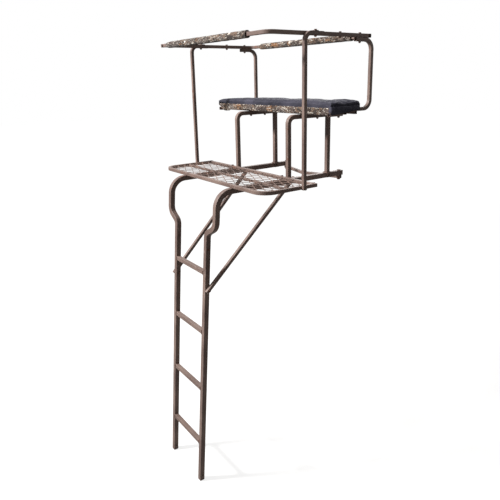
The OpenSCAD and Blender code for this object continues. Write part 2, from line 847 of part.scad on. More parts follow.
module corner_holes() {
    for (p = corner_spots)
        translate(p[0])
            rotate(p[1])
                translate([0, 0, -hole_overrun])
                    cylinder(h = frame_tube + hole_overrun, r = bolt_r + hole_gap, $fn = round_fn);
}

// Threaded plugs in the side bars' ends, which take the corner bolts
module rail_corner_plugs() {
    color("dimgray")
        for (p = corner_spots)
            translate(p[0])
                rotate(p[1])
                    translate([0, 0, frame_tube])
                        difference() {
                            linear_extrude(corner_plug_l)
                                rounded_square(frame_tube - 2 * frame_wall, edge_r - frame_wall + 0.1);
                            translate([0, 0, -1])
                                cylinder(h = corner_plug_l + 2, r = bolt_r + pin_gap, $fn = round_fn);
                        }
}

// Plates welded on the side bars, which reach over the front uprights
module rail_ears() {
    ear_z = rail_z + frame_tube / 2;
    color("saddlebrown")
        difference() {
            for (s = [-1, 1])
                translate([s * (side_x + frame_tube / 2) - frame_tube, ear_y - ear_length / 2, ear_z])
                    cube([2 * frame_tube, ear_length, plate_t]);
            holes(rail_spots);
        }
}

// A sleeve on a rail bar, between the bare lengths at the bar's two ends
module rail_pad(y, bare_left, bare_right) {
    color([0.5, 0.43, 0.34])
        translate([bare_left - side_x, y, rail_z])
            rotate([0, 90, 0])
                linear_extrude(platform_w - bare_left - bare_right)
                    difference() {
                        circle(d = pad_od, $fn = 64);
                        rounded_square(frame_tube + 2 * seat_gap, edge_r);
                    }
}

module front_rail_pad() {
    rail_pad(rail_front_y, front_bare_left, front_bare_right);
}

module rear_rail_pad() {
    rail_pad(rail_rear_y, rear_bare_left, rear_bare_right);
}

// ---- the whole stand ----

platform_rim();
platform_rear_bar();
platform_mid_bar();
platform_mesh();
mirror([1, 0, 0]) neck();  // neck_left
neck();  // neck_right
beam(-1);  // beam_left
beam(1);  // beam_right
ladder_rail(-1);  // ladder_rail_left
ladder_rail(1);  // ladder_rail_right
rung(0);  // rung_1
rung(1);  // rung_2
rung(2);  // rung_3
rung(3);  // rung_4
strut(-1);  // strut_left
strut(1);  // strut_right
tree_brace();
seat_support(-1);  // seat_support_left
seat_support(1);  // seat_support_right
seat_rear_leg(-1);  // seat_rear_leg_left
seat_rear_leg(1);  // seat_rear_leg_right
seat_feet();
seat_frame_front_tube();
seat_frame_middle_tube();
seat_frame_rear_tube();
seat_frame_ties();
seat_frame_stub(-1);  // seat_frame_stub_left
seat_frame_stub(1);  // seat_frame_stub_right
seat_hinge_lugs();
seat_hinge_pins();
seat_pan();
seat_pan_slats();
seat_cushion();
front_upright(-1);  // front_upright_left
front_upright(1);  // front_upright_right
rear_upright(-1);  // rear_upright_left
rear_upright(1);  // rear_upright_right
rail_front();
rail_back();
rail_ears();
rail_corner_plugs();
front_rail_pad();
rear_rail_pad();
bolts(platform_bolt_spots);  // platform_bolts
bolts(joint_spots);  // ladder_joint_bolts
bolts(strut_bolt_spots);  // strut_bolts
bolts(brace_spots, brace_bolt_r, brace_head_r);  // brace_bolts
bolts(seat_foot_spots);  // seat_foot_bolts
bolts(seat_frame_spots);  // seat_frame_bolts
bolts(upright_spots);  // upright_bolts
bolts(rail_spots);  // rail_bolts
bolts(corner_spots, past = -corner_thread_gap);  // rail_corner_bolts
nuts_on(m8_spots);  // nuts
nuts_on(brace_spots, brace_bolt_r, brace_head_r);  // brace_nuts
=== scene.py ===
import math
import bpy
from mathutils import Matrix, Vector, noise


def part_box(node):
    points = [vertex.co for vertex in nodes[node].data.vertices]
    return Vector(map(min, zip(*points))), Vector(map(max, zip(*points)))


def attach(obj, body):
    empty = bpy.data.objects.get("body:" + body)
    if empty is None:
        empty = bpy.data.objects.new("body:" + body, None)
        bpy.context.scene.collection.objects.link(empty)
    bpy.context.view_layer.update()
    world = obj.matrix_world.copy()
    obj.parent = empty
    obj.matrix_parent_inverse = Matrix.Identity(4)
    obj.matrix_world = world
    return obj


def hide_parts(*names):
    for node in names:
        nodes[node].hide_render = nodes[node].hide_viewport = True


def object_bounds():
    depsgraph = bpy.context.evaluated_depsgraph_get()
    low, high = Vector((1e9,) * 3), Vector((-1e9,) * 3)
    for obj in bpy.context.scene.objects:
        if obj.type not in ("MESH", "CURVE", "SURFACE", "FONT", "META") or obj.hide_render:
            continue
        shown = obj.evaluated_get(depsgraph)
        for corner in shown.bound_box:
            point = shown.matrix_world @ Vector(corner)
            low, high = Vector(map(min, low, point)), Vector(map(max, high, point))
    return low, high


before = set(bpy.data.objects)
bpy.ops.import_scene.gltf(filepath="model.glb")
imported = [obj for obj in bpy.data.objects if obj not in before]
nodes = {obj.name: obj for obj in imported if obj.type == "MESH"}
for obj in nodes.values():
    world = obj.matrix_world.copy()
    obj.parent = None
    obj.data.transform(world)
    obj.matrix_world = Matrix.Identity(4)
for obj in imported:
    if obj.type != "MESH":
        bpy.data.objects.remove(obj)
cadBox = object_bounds()
print("frame loaded:", len(nodes), "nodes")


def nothingSelected():
    if bpy.context.object and bpy.context.object.mode != "OBJECT":
        bpy.ops.object.mode_set(mode="OBJECT")
    bpy.ops.object.select_all(action="DESELECT")


nothingSelected()

camera = {
    "place": (2.4866, -2.2167, 0.6065),
    "azimuth": 54.07,
    "elevation": 15.19,
    "roll": -1.21,
    "lens": 36.48,
    "sensor": 36,
    "shiftX": -0.0083,
    "shiftY": -0.068,
}


def addCamera():
    azimuth, elevation, roll = (math.radians(camera[k]) for k in ("azimuth", "elevation", "roll"))
    level = Vector((math.cos(azimuth), math.sin(azimuth), 0))
    back = Vector((math.sin(azimuth), -math.cos(azimuth), 0)) * math.cos(elevation)
    back.z = math.sin(elevation)
    plumb = back.cross(level)
    right = math.cos(roll) * level + math.sin(roll) * plumb
    up = math.cos(roll) * plumb - math.sin(roll) * level
    bpy.ops.object.camera_add(location=camera["place"])
    cam = bpy.context.object
    cam.rotation_euler = Matrix((right, up, back)).transposed().to_euler()
    cam.data.lens = camera["lens"]
    cam.data.sensor_width = camera["sensor"]
    cam.data.shift_x = camera["shiftX"]
    cam.data.shift_y = camera["shiftY"]
    bpy.context.scene.camera = cam


# the key stands to the front and left, so the sides of the tubes stay dark, and high enough that the
# cushion shades the upper half of the seat's rear legs
lamps = {
    "key": {"place": (-2.5, -4.9, 3.45), "aim": (0, -0.4, -0.2), "size": 0.7, "power": 640},
    "top": {"place": (-0.8, -1.4, 4.2), "aim": (0, -0.3, 0), "size": 3.0, "power": 70},
    "rim": {"place": (-3.2, 3.4, 1.6), "aim": (0, -0.3, 0.2), "size": 2.0, "power": 30},
}


def addLamps():
    for name, lamp in lamps.items():
        bpy.ops.object.light_add(type="AREA", location=lamp["place"])
        light = bpy.context.object
        light.name = name + "Lamp"
        light.data.size = lamp["size"]
        light.data.energy = lamp["power"]
        aim = Vector(lamp["aim"]) - Vector(lamp["place"])
        light.rotation_euler = aim.to_track_quat("-Z", "Y").to_euler()


# sRGB hex to the linear colour that a shader takes
def linear(code):
    parts = [int(code[i:i + 2], 16) / 255 for i in (1, 3, 5)]
    return [p / 12.92 if p <= 0.04045 else ((p + 0.055) / 1.055) ** 2.4 for p in parts] + [1]


def addNode(tree, kind, values=None, links=None, **settings):
    node = tree.nodes.new(kind)
    for key, value in settings.items():
        setattr(node, key, value)
    for key, value in (values or {}).items():
        node.inputs[key].default_value = value
    for key, socket in (links or {}).items():
        tree.links.new(socket, node.inputs[key])
    return node


def newMaterial(name):
    material = bpy.data.materials.new(name)
    material.use_nodes = True
    material.node_tree.nodes.clear()
    return material, material.node_tree


studio = {
    "fill": 0.13,
    "backdrop": 1.0,
    "floor": "#9c9a98",        # grey to the lamps, so that little light comes back up from it
    "nearGlow": 0.80,          # keeps the shadow at the feet pale
    "farGlow": 0.97,           # hides the line where the floor meets the backdrop
    "glowFrom": 2.5,
    "glowTo": 9.0,
    "floorGap": 0.002,
    "floorSize": 60,
}


def addWorld():
    world = bpy.data.worlds.new("studio")
    bpy.context.scene.world = world
    world.use_nodes = True
    tree = world.node_tree
    tree.nodes.clear()
    path = addNode(tree, "ShaderNodeLightPath")
    seen = path.outputs["Is Camera Ray"]
    for kind in ("Is Glossy Ray", "Is Transmission Ray"):
        links = {0: seen, 1: path.outputs[kind]}
        seen = addNode(tree, "ShaderNodeMath", links=links, operation="MAXIMUM").outputs[0]
    values = {"To Min": studio["fill"], "To Max": studio["backdrop"]}
    level = addNode(tree, "ShaderNodeMapRange", values, {"Value": seen})
    sky = addNode(tree, "ShaderNodeBackground", {"Color": (1, 1, 1, 1)}, {"Strength": level.outputs[0]})
    addNode(tree, "ShaderNodeOutputWorld", links={"Surface": sky.outputs[0]})


def addFloor():
    low = cadBox[0].z - studio["floorGap"]
    bpy.ops.mesh.primitive_plane_add(size=studio["floorSize"], location=(0, 0, low))
    floor = bpy.context.object
    floor.name = "floor"
    material, tree = newMaterial("pale studio floor")
    path = addNode(tree, "ShaderNodeLightPath")
    paint = addNode(tree, "ShaderNodeBsdfDiffuse", {"Color": linear(studio["floor"])})
    coords = addNode(tree, "ShaderNodeTexCoord").outputs["Object"]
    away = addNode(tree, "ShaderNodeVectorMath", links={0: coords}, operation="LENGTH")
    values = {"From Min": studio["glowFrom"], "From Max": studio["glowTo"],
              "To Min": studio["nearGlow"], "To Max": studio["farGlow"]}
    strength = addNode(tree, "ShaderNodeMapRange", values, {"Value": away.outputs["Value"]})
    links = {0: path.outputs["Is Camera Ray"], 1: strength.outputs[0]}
    level = addNode(tree, "ShaderNodeMath", links=links, operation="MULTIPLY")
    glow = addNode(tree, "ShaderNodeEmission", {"Color": (1, 1, 1, 1)}, {"Strength": level.outputs[0]})
    both = addNode(tree, "ShaderNodeAddShader", links={0: paint.outputs[0], 1: glow.outputs[0]})
    addNode(tree, "ShaderNodeOutputMaterial", links={"Surface": both.outputs[0]})
    floor.data.materials.append(material)


bpy.context.scene.view_settings.view_transform = "Standard"
addCamera()
addLamps()
addWorld()
addFloor()
nothingSelected()
print("camera, lamps and floor placed")


# sockets 6 and 7 of a colour Mix are its two colours, and output 2 is the mixed one
def mixColour(tree, amount, low, high):
    values, links = {}, {0: amount}
    for slot, colour in ((6, low), (7, high)):
        if isinstance(colour, str):
            values[slot] = linear(colour)
        else:
            links[slot] = colour
    return addNode(tree, "ShaderNodeMix", values, links, data_type="RGBA").outputs[2]


# soft spots of noise: size in metres, and the span of the noise over which a spot fades in
def spots(tree, coords, size, span, stretch=(1, 1, 1), shift=(0, 0, 0), detail=3, distortion=0.0):
    turned = addNode(tree, "ShaderNodeMapping", {"Location": shift, "Scale": stretch}, {"Vector": coords})
    values = {"Scale": 1 / size, "Detail": detail, "Distortion": distortion}
    cloud = addNode(tree, "ShaderNodeTexNoise", values, {"Vector": turned.outputs[0]})
    values = {"From Min": span[0], "From Max": span[1]}
    spot = addNode(tree, "ShaderNodeMapRange", values, {"Value": cloud.outputs[0]},
                   interpolation_type="SMOOTHSTEP")
    return spot.outputs[0]


def between(tree, amount, low, high):
    level = addNode(tree, "ShaderNodeMapRange", {"To Min": low, "To Max": high}, {"Value": amount})
    return level.outputs[0]


def bumpFrom(tree, height, strength, depth):
    bump = addNode(tree, "ShaderNodeBump", {"Strength": strength, "Distance": depth}, {"Height": height})
    return bump.outputs[0]


def closeMaterial(tree, values, links):
    shader = addNode(tree, "ShaderNodeBsdfPrincipled", values, links)
    addNode(tree, "ShaderNodeOutputMaterial", links={"Surface": shader.outputs[0]})


# baked polyester powder on mild steel: satin brown with a slight orange peel, dusty where it was handled
tubeCoat = {
    "base": "#857168", "deep": "#6e5b54", "warm": "#765649", "rub": "#988780",
    "rough": 0.42, "peel": 0.0022,
}
meshCoat = {
    "base": "#715b51", "deep": "#50403a", "warm": "#7a5343", "rub": "#94847a",
    "rough": 0.48, "peel": 0.0022,
}
weldCoat = {
    "base": "#664c42", "deep": "#4c3830", "warm": "#7a4a3a", "rub": "#86705f",
    "rough": 0.46, "peel": 0.0016,
}
coatWear = {
    "patch": 0.19,             # metres across the broad changes of tone
    "stain": 0.045,
    "dust": 0.012,
    "dustRough": 0.18,         # how much duller the dusty places are
    "peelStrength": 0.35,
    "peelDepth": 0.00012,
    "ior": 1.5,
    "specular": 0.27,
}


def powderCoat(name, look):
    material, tree = newMaterial(name)
    coords = addNode(tree, "ShaderNodeTexCoord").outputs["Object"]
    patches = spots(tree, coords, coatWear["patch"], (0.35, 0.68), detail=2)
    tone = mixColour(tree, patches, look["deep"], look["base"])
    stains = spots(tree, coords, coatWear["stain"], (0.60, 0.74), shift=(3, 1, 2))
    tone = mixColour(tree, stains, tone, look["warm"])
    dust = spots(tree, coords, coatWear["dust"], (0.60, 0.80), (1, 1, 0.35), (7, 2, 5), detail=4)
    tone = mixColour(tree, dust, tone, look["rub"])
    matt = between(tree, dust, look["rough"], look["rough"] + coatWear["dustRough"])
    peel = addNode(tree, "ShaderNodeTexNoise", {"Scale": 1 / look["peel"], "Detail": 1}, {"Vector": coords})
    normal = bumpFrom(tree, peel.outputs[0], coatWear["peelStrength"], coatWear["peelDepth"])
    closeMaterial(tree, {"IOR": coatWear["ior"], "Specular IOR Level": coatWear["specular"]},
                  {"Base Color": tone, "Roughness": matt, "Normal": normal})
    return material


powderTube = powderCoat("brown polyester powder coat", tubeCoat)
powderMesh = powderCoat("brown powder coat on expanded steel", meshCoat)
powderWeld = powderCoat("brown powder coat over weld", weldCoat)

# electroplated zinc, dulled and stained by the brown coat: small dark glints, painted into its colour as
# paler spots
zincBolt = {
    "base": "#4f4540", "stain": "#6b3f2c", "paintedGlint": "#8b8079",
    "stainSize": 0.009, "paintedGlintSize": 0.004, "metallic": 0.75, "rough": 0.38,
    "scratch": 0.0015, "scratchStrength": 0.3, "scratchDepth": 0.0001,
}


def plainZinc():
    material, tree = newMaterial("dulled zinc plate")
    coords = addNode(tree, "ShaderNodeTexCoord").outputs["Object"]
    stains = spots(tree, coords, zincBolt["stainSize"], (0.45, 0.62))
    tone = mixColour(tree, stains, zincBolt["base"], zincBolt["stain"])
    # painted glint: small spots of a paler colour stand in for highlights on the metal
    paintedGlints = spots(tree, coords, zincBolt["paintedGlintSize"], (0.58, 0.70), shift=(2, 4, 1))
    tone = mixColour(tree, paintedGlints, tone, zincBolt["paintedGlint"])
    values = {"Scale": 1 / zincBolt["scratch"], "Detail": 2}
    scratch = addNode(tree, "ShaderNodeTexNoise", values, {"Vector": coords})
    normal = bumpFrom(tree, scratch.outputs[0], zincBolt["scratchStrength"], zincBolt["scratchDepth"])
    closeMaterial(tree, {"Metallic": zincBolt["metallic"], "Roughness": zincBolt["rough"]},
                  {"Base Color": tone, "Normal": normal})
    return material


zinc = plainZinc()


# crossed threads on a cloth, one thread every pitch metres: a band repeats after pi / (10 * scale)
def weave(tree, coords, pitch):
    bands = []
    for way in ("X", "Y", "Z"):
        node = addNode(tree, "ShaderNodeTexWave", {"Scale": math.pi / (10 * pitch)}, {"Vector": coords},
                       bands_direction=way)
        bands.append(node.outputs[1])
    crossed = addNode(tree, "ShaderNodeMath", links={0: bands[0], 1: bands[1]}, operation="MULTIPLY")
    links = {0: crossed.outputs[0], 1: bands[2]}
    return addNode(tree, "ShaderNodeMath", links=links, operation="ADD").outputs[0]


# printed polyester over foam: soft blotches in bark and dry-leaf colours on a plain weave;
# the real thread is 0.5 mm, which is too fine to show, so it is drawn at 1.6 mm
camoCloth = {
    "khaki": "#725d4d", "ash": "#62544e", "bark": "#332720",
    "leaf": "#855a35", "ink": "#1a1512", "bone": "#e2dacd",
    "blotch": 0.033, "thread": 0.0016, "threadStrength": 0.5, "threadDepth": 0.0004,
    "grain": 0.003, "grainShare": 0.35, "rough": 0.86, "specular": 0.25, "sheen": 0.15, "sheenRough": 0.5,
}
# each layer of the print: size in blotches, span of noise over which it fades in, stretch, shift,
# distortion and colour
camoLayers = (
    (3.2, (0.46, 0.56), (1, 1, 1), (0, 0, 0), 0.8, "ash"),
    (3.0, (0.55, 0.61), (0.9, 1, 1), (4, 1, 6), 0.6, "leaf"),
    (0.8, (0.48, 0.53), (0.7, 1.2, 1.2), (1, 2, 3), 1.0, "bark"),
    (0.40, (0.58, 0.62), (0.6, 1, 1.4), (9, 5, 2), 1.4, "ink"),
    (0.40, (0.595, 0.635), (0.5, 1.6, 1.6), (2, 8, 4), 1.8, "bone"),
)


def camouflage(name, look):
    material, tree = newMaterial(name)
    coords = addNode(tree, "ShaderNodeTexCoord").outputs["Object"]
    tone = look["khaki"]
    for width, span, stretch, shift, distortion, colour in camoLayers:
        area = spots(tree, coords, look["blotch"] * width, span, stretch, shift, distortion=distortion)
        tone = mixColour(tree, area, tone, look[colour])
    values = {"Scale": 1 / look["grain"], "Detail": 3}
    grain = addNode(tree, "ShaderNodeTexNoise", values, {"Vector": coords})
    tone = mixColour(tree, between(tree, grain.outputs[0], 0.0, look["grainShare"]), tone, look["bark"])
    threads = weave(tree, coords, look["thread"])
    normal = bumpFrom(tree, threads, look["threadStrength"], look["threadDepth"])
    values = {"Roughness": look["rough"], "Specular IOR Level": look["specular"],
              "Sheen Weight": look["sheen"], "Sheen Roughness": look["sheenRough"]}
    closeMaterial(tree, values, {"Base Color": tone, "Normal": normal})
    return material


camoFabric = camouflage("printed polyester camouflage cloth", camoCloth)

# urethane-coated nylon: near black with a cool sheen, paler where it is stretched; thread drawn at 2 mm
seatCloth = {
    "base": "#2d2c36", "worn": "#45434f", "deep": "#17171d", "wornSize": 0.16, "deepSize": 0.05,
    "thread": 0.0020, "threadStrength": 0.45, "threadDepth": 0.0003,
    "rough": 0.66, "smoother": 0.08, "rougher": 0.12, "roughSize": 0.03, "specular": 0.15,
    "sheen": 0.04, "sheenRough": 0.45, "sheenTint": "#b9b8d8",
}


def coatedNylon(name, look):
    material, tree = newMaterial(name)
    coords = addNode(tree, "ShaderNodeTexCoord").outputs["Object"]
    worn = spots(tree, coords, look["wornSize"], (0.38, 0.66), detail=2)
    tone = mixColour(tree, worn, look["base"], look["worn"])
    dark = spots(tree, coords, look["deepSize"], (0.55, 0.75), shift=(5, 3, 1), detail=4)
    tone = mixColour(tree, dark, tone, look["deep"])
    dull = spots(tree, coords, look["roughSize"], (0.4, 0.7))
    matt = between(tree, dull, look["rough"] - look["smoother"], look["rough"] + look["rougher"])
    threads = weave(tree, coords, look["thread"])
    normal = bumpFrom(tree, threads, look["threadStrength"], look["threadDepth"])
    values = {"Specular IOR Level": look["specular"], "Sheen Weight": look["sheen"],
              "Sheen Roughness": look["sheenRough"], "Sheen Tint": linear(look["sheenTint"])}
    closeMaterial(tree, values, {"Base Color": tone, "Roughness": matt, "Normal": normal})
    return material


nylon = coatedNylon("coated charcoal nylon", seatCloth)

# the unprinted back of the camouflage cloth, which shows at its cut edges
liningCloth = {
    "base": "#d8d1c6", "soiled": "#a89d8f", "soilSize": 0.014,
    "thread": 0.0016, "threadStrength": 0.5, "threadDepth": 0.0003, "rough": 0.9, "specular": 0.2,
}


def clothLining():
    material, tree = newMaterial("unprinted polyester cloth")
    coords = addNode(tree, "ShaderNodeTexCoord").outputs["Object"]
    soil = spots(tree, coords, liningCloth["soilSize"], (0.4, 0.7))
    tone = mixColour(tree, soil, liningCloth["base"], liningCloth["soiled"])
    threads = weave(tree, coords, liningCloth["thread"])
    normal = bumpFrom(tree, threads, liningCloth["threadStrength"], liningCloth["threadDepth"])
    closeMaterial(tree, {"Roughness": liningCloth["rough"], "Specular IOR Level": liningCloth["specular"]},
                  {"Base Color": tone, "Normal": normal})
    return material


lining = clothLining()

# black closed-cell foam, cut square: a matt face with small open pits, which are painted darker inside as
# shade
foamCell = {
    "base": "#1c1a1a", "paintedPitShade": "#0c0b0b", "cell": 0.0016, "pitStrength": 0.6, "pitDepth": 0.0003,
    "rough": 0.9, "specular": 0.2,
}


def closedCellFoam():
    material, tree = newMaterial("black closed-cell foam")
    coords = addNode(tree, "ShaderNodeTexCoord").outputs["Object"]
    cells = addNode(tree, "ShaderNodeTexVoronoi", {"Scale": 1 / foamCell["cell"]}, {"Vector": coords})
    # painted shade: the colour darkens towards the middle of each cell, where the bump sinks into a pit
    tone = mixColour(tree, cells.outputs[0], foamCell["paintedPitShade"], foamCell["base"])
    normal = bumpFrom(tree, cells.outputs[0], foamCell["pitStrength"], foamCell["pitDepth"])
    closeMaterial(tree, {"Roughness": foamCell["rough"], "Specular IOR Level": foamCell["specular"]},
                  {"Base Color": tone, "Normal": normal})
    return material


foam = closedCellFoam()

# the fasteners are zinc plated, and all the tube and plate is powder coated
fastenerWords = ("bolts", "nuts", "pins", "plugs")
for name, obj in nodes.items():
    finish = powderTube
    if any(word in name for word in fastenerWords):
        finish = zinc
    for slot in obj.material_slots:
        slot.material = finish
print("materials made")


def dress(obj, *materials):
    obj.data.materials.clear()
    for material in materials:
        obj.data.materials.append(material)


def selectOnly(obj):
    nothingSelected()
    obj.select_set(True)
    bpy.context.view_layer.objects.active = obj


def settle(obj):
    selectOnly(obj)
    bpy.ops.object.transform_apply(location=True, rotation=True, scale=True)


def editWith(obj, kind):
    selectOnly(obj)
    bpy.ops.object.mode_set(mode="EDIT")
    bpy.ops.mesh.select_mode(type=kind)
    bpy.ops.mesh.select_all(action="DESELECT")
    bpy.ops.object.mode_set(mode="OBJECT")


def pickFaces(obj, test):
    editWith(obj, "FACE")
    for face in obj.data.polygons:
        face.select = test(face)
    bpy.ops.object.mode_set(mode="EDIT")


def pickEdges(obj, test):
    editWith(obj, "EDGE")
    points = obj.data.vertices
    for edge in obj.data.edges:
        edge.select = test(points[edge.vertices[0]].co, points[edge.vertices[1]].co)
    bpy.ops.object.mode_set(mode="EDIT")


def useModifier(obj, kind, **settings):
    selectOnly(obj)
    made = obj.modifiers.new(kind.lower(), kind)
    for key, value in settings.items():
        setattr(made, key, value)
    bpy.ops.object.modifier_apply(modifier=made.name)


def smoothShade(obj, angle=None):
    selectOnly(obj)
    if angle is None:
        bpy.ops.object.shade_smooth()
    else:
        bpy.ops.object.shade_smooth_by_angle(angle=math.radians(angle))


def joinAll(pieces, name):
    nothingSelected()
    for piece in pieces:
        piece.select_set(True)
    bpy.context.view_layer.objects.active = pieces[0]
    bpy.ops.object.join()
    pieces[0].name = name
    return pieces[0]


# smooth random value between about -0.7 and 0.7, with waves of the given length in metres
def wobble(place, length, seed):
    return noise.noise(Vector(place) / length + Vector((seed * 7.3, seed * 3.1, seed * 1.7)))


# 0 before start, 1 after end, and a smooth rise between
def fade(value, start, end):
    share = min(max((value - start) / (end - start), 0), 1)
    return share * share * (3 - 2 * share)


seatLow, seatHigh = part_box("seat_cushion")
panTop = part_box("seat_pan")[1].z
armLow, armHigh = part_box("rear_upright_right")
armTop = armLow.z + (armHigh.x - armLow.x)     # the upright's lower arm, on which the cushion's ends lie

cushion = {
    "inset": 0.005,            # the pad starts this much smaller than its room, and the pressure fills it
    "rest": 0.0007,            # gap between the pad and the pan
    "rim": 0.028,              # thickness at the edge before it puffs up
    "crown": 0.007,
    "lumps": 0.0032,
    "lumpLength": 0.17,        # metres from one lump of the filling to the next
    "dimpleLength": 0.07,
    "dimpleShare": 0.35,
    "pinch": 0.007,            # how far the sides pull in between the corners
    "pinchShare": 0.4,
    "cuts": 14,
    "voxel": 0.0055,
    "pressure": 4.0,
    "frames": 20,
    "maxMove": 0.0095,
    "tuckBelow": 0.0095,       # under this height over the pan the front lies behind the printed strip
    "tuckTo": 0.0095,
    "leftBulge": 0.016,
    "fold": 0.0056,
    "foldLength": 0.055,
    "creaseLength": 0.030,
    "swayLength": 0.11,
    "topFrom": 0.012,          # heights over the pan between which a side turns into the top
    "topTo": 0.028,
    "spreadFrom": 0.40,        # outside this the ends are drawn out over the arms
    "overhang": 0.0385,
    "endsFrom": 0.020,         # distances inside an arm between which the limits on an end set in
    "endsTo": 0.006,
    "overBolts": 0.0066,       # gap between an arm and the cushion's end, for the bolt heads
    "endHeight": 0.0140,       # highest that an end may rise over an arm at y = 0, so that it clears the
    "endSlope": 0.176,         # upright when the seat tips up
    "endRear": -0.0585,        # the ends are drawn in to here behind, and thinned, to clear the bend
    "rearFrom": -0.13,
    "thinFrom": -0.084,
    "thinBy": 0.0095,
    "dips": ((-0.395, 0.060, 0.018), (-0.25, 0.07, 0.005), (0.0, 0.075, 0.013), (0.315, 0.050, 0.020),
             (-0.490, 0.030, -0.007), (0.44, 0.05, -0.004)),   # place across, half width, depth
}


# place over the seat's half width and half depth: -1 at the left or front edge, 1 at the right or rear
def seatSpan(place):
    middle = (seatLow + seatHigh) / 2
    half = (seatHigh - seatLow) / 2
    return (place.x - middle.x) / half.x, (place.y - middle.y) / half.y


# a slab cut into a grid, crowned and lumpy on top, with sides that pull in between the corners
def blankPad():
    inset = cushion["inset"]
    low = Vector((seatLow.x + inset, seatLow.y + inset, panTop + cushion["rest"]))
    high = Vector((seatHigh.x - inset, seatHigh.y - inset, low.z + cushion["rim"]))
    bpy.ops.mesh.primitive_cube_add(size=1, location=(low + high) / 2, scale=high - low)
    pad = bpy.context.object
    pad.name = "seatCushionPad"
    settle(pad)
    bpy.ops.object.mode_set(mode="EDIT")
    bpy.ops.mesh.select_all(action="SELECT")
    bpy.ops.mesh.subdivide(number_cuts=cushion["cuts"])
    bpy.ops.object.mode_set(mode="OBJECT")
    for point in pad.data.vertices:
        at = point.co
        across, deep = seatSpan(at)
        rise = (at.z - low.z) / cushion["rim"]
        dome = (1 - across ** 8) * (1 - deep ** 4)
        lump = wobble((at.x, at.y * 0.6, 0), cushion["lumpLength"], 1)
        lump += cushion["dimpleShare"] * wobble((at.x, at.y, 0), cushion["dimpleLength"], 2)
        at.z += rise * (cushion["crown"] * dome + cushion["lumps"] * lump)
        pull = cushion["pinch"] * math.sin(rise * math.pi) * 0.5
        share = cushion["pinchShare"]
        at.x += math.copysign(cushion["pinch"] * deep ** 2 * share - pull * share, across) * abs(across)
        at.y += math.copysign(cushion["pinch"] * across ** 2 * share, deep) * abs(deep)
    return pad


# 1 at the front left corner, which bulges out over the end of the seat frame, and 0 away from it
def leftCorner(across, deep):
    return fade(-across, 0.90, 1.0) * fade(-deep, 0.35, 1.0)


# narrow creases where the noise crosses nought
def crease(place, length, seed):
    return 1 - min(abs(wobble(place, length, seed)) * 4, 1)


# folds of loose cloth: deep at the right end, and small ones along the other edges
def slackCloth(at):
    across, deep = seatSpan(at)
    right = fade(across, 0.55, 0.95)
    swing = wobble((at.x, at.y, at.z), cushion["swayLength"], 4)
    slanted = (at.x * 1.5 + at.y * 0.5, at.y * 0.7 - at.x * 0.4, at.z)
    ridge = crease(slanted, cushion["foldLength"], 6)
    fine = crease((at.x * 1.4, at.y * 0.6, at.z), cushion["creaseLength"], 9)
    deepFold = right * (0.75 * ridge ** 2 + 0.35 * fine ** 2)
    edge = fade(abs(deep), 0.55, 0.98)
    slightFold = (1 - right) * (0.20 * ridge ** 2 + 0.22 * edge * fine ** 2)
    return cushion["fold"] * (deepFold + slightFold + 0.12 * swing)


# dents along the rear edge, where the pad has settled
def rearDents(at, deep):
    depth = sum(d * math.exp(-((at.x - x) / w) ** 2) for x, w, d in cushion["dips"])
    return depth * fade(deep, -0.3, 0.9)


# draws an end out over the arm: it lies above the bolt heads and below the tipping limit
def spreadEnd(at):
    out = cushion["overhang"] * fade(abs(at.x), cushion["spreadFrom"], seatHigh.x)
    at.x += math.copysign(out, at.x)
    over = fade(abs(at.x), armLow.x - cushion["endsFrom"], armLow.x - cushion["endsTo"])
    squeeze = (seatHigh.y - cushion["endRear"]) / (seatHigh.y - cushion["rearFrom"])
    at.y -= over * squeeze * max(at.y - cushion["rearFrom"], 0)
    thin = max((at.y - cushion["thinFrom"]) / (cushion["endRear"] - cushion["thinFrom"]), 0)
    ceiling = armTop + cushion["endHeight"] - cushion["endSlope"] * at.y - cushion["thinBy"] * thin ** 2
    height = min(max(at.z, armTop + cushion["overBolts"]), ceiling)
    at.z += (height - at.z) * over


# swells the pad with air pressure, as its filling does
def puffUp(pad):
    scene = bpy.context.scene
    selectOnly(pad)
    puff = pad.modifiers.new("puff", "CLOTH")
    puff.settings.use_pressure = True
    puff.settings.uniform_pressure_force = cushion["pressure"]
    puff.settings.effector_weights.gravity = 0
    scene.frame_start = 1
    scene.frame_end = cushion["frames"]
    for step in range(1, cushion["frames"] + 1):
        scene.frame_set(step)
    bpy.ops.object.modifier_apply(modifier=puff.name)
    scene.frame_set(1)


# gives one point of the puffed pad its folds, dents, front corner and drawn-out end
def sculpt(at):
    across, deep = seatSpan(at)
    top = fade(at.z, panTop + cushion["topFrom"], panTop + cushion["topTo"])
    at.z -= (slackCloth(at) + rearDents(at, deep)) * top
    side = 1 - top
    at.x -= math.copysign(slackCloth(at) * side * fade(abs(across), 0.9, 1), across)
    bulge = cushion["leftBulge"] * leftCorner(across, deep)
    at.x -= bulge * 0.8
    at.y -= bulge
    at.z -= bulge * 0.25 * top
    behind = seatLow.y + cushion["tuckTo"]
    tuckZ = panTop + cushion["tuckBelow"]
    under = 1 - fade(at.z, tuckZ - 0.002, tuckZ + 0.003)
    if at.y < behind:
        at.y += (behind - at.y) * under
    at.z = max(at.z, panTop + cushion["rest"])
    spreadEnd(at)


def seatCushion():
    pad = blankPad()
    pad.data.remesh_voxel_size = cushion["voxel"]
    selectOnly(pad)
    bpy.ops.object.voxel_remesh()
    before = [point.co.copy() for point in pad.data.vertices]
    puffUp(pad)
    for point, was in zip(pad.data.vertices, before):
        move = point.co - was
        if move.length > cushion["maxMove"]:
            move *= cushion["maxMove"] / move.length
        at = was + move
        sculpt(at)
        point.co = at
    useModifier(pad, "SMOOTH", factor=0.5, iterations=2)
    useModifier(pad, "SUBSURF", levels=1, render_levels=1)
    smoothShade(pad)
    dress(pad, nylon)
    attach(pad, "seat")
    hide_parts("seat_cushion")
    return pad


pad = seatCushion()
print("seat cushion made:", len(pad.data.polygons), "faces")

